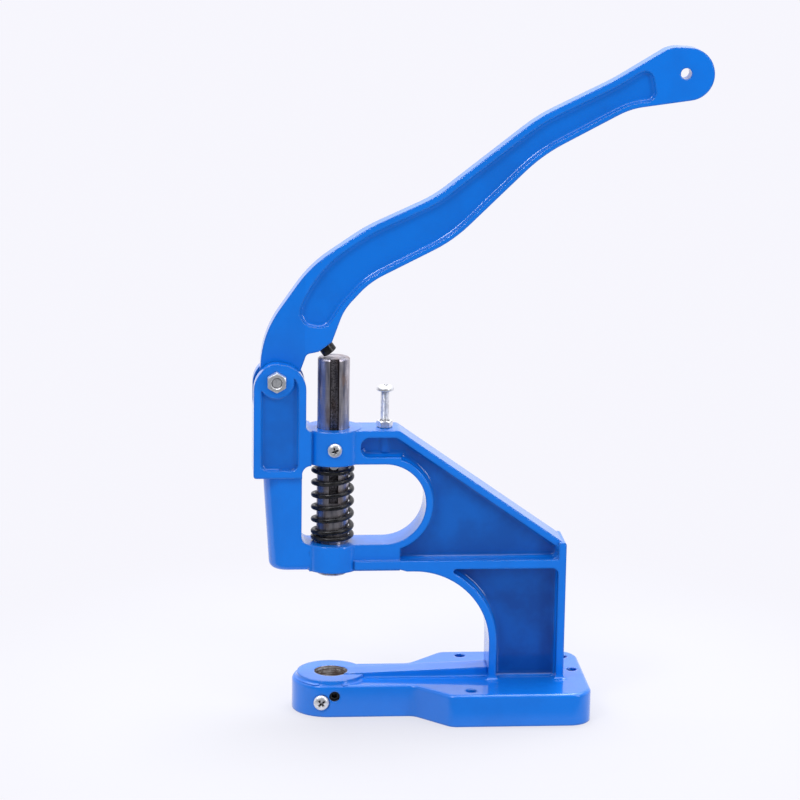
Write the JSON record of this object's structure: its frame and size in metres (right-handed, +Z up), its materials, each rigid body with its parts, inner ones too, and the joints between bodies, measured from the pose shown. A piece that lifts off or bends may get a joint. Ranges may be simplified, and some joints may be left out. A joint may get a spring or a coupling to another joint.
{
  "type": "eyelet press",
  "caption": "Hand-lever eyelet machine: blue cast frame on a flared base, long swept lever that drives a sprung round plunger down onto a die hole.",
  "frame": {"origin": "axis of the die hole, on the face that the base rests on", "axes": "+Z up along the plunger and the die hole; +X from the die hole to the column; +Y completes a right-handed set"},
  "size_m": [0.2534, 0.081, 0.3792],
  "materials": {
    "blue_enamel": "glossy azure enamel on a cast surface, chipped at a few edges",
    "dark_polished_steel": "ground and polished hardened steel with brown and blue heat tints",
    "zinc_plate": "bright zinc plate on screws, nuts and bolts",
    "black_oxide": "oiled black oxide on spring wire and hardened screws"
  },
  "bodies": {
    "frame": {"base_casting": "blue_enamel", "frame_casting": "blue_enamel", "pivot_bolt": "zinc_plate", "pivot_nut": "zinc_plate", "return_spring": "black_oxide", "stop_bolt": "zinc_plate", "stop_lock_nut": "zinc_plate", "plunger_guide_screw": "zinc_plate", "die_clamp_screw": "zinc_plate", "die_set_screw": "black_oxide"},
    "lever_arm": {"lever": "blue_enamel", "striker_screw": "black_oxide"},
    "ram": {"plunger": "dark_polished_steel", "spring_pin": "zinc_plate"}
  },
  "joints": [
    {"name": "lever_pivot", "type": "hinge", "parent": "frame", "child": "lever_arm", "pos_m": [-0.0325, 0, 0.1938], "axis": [0, 1, 0], "range_deg": [0, 45]},
    {"name": "plunger_slide", "type": "slide", "parent": "frame", "child": "ram", "axis": [0, 0, -1], "range_m": [0, 0.0235], "stiffness_N_per_m": 11900, "springref_m": -0.01, "deforming": ["return_spring"]}
  ],
  "couplings": [
    {"joint": "plunger_slide", "follows": "lever_pivot", "m_per_rad": 0.0298}
  ]
}
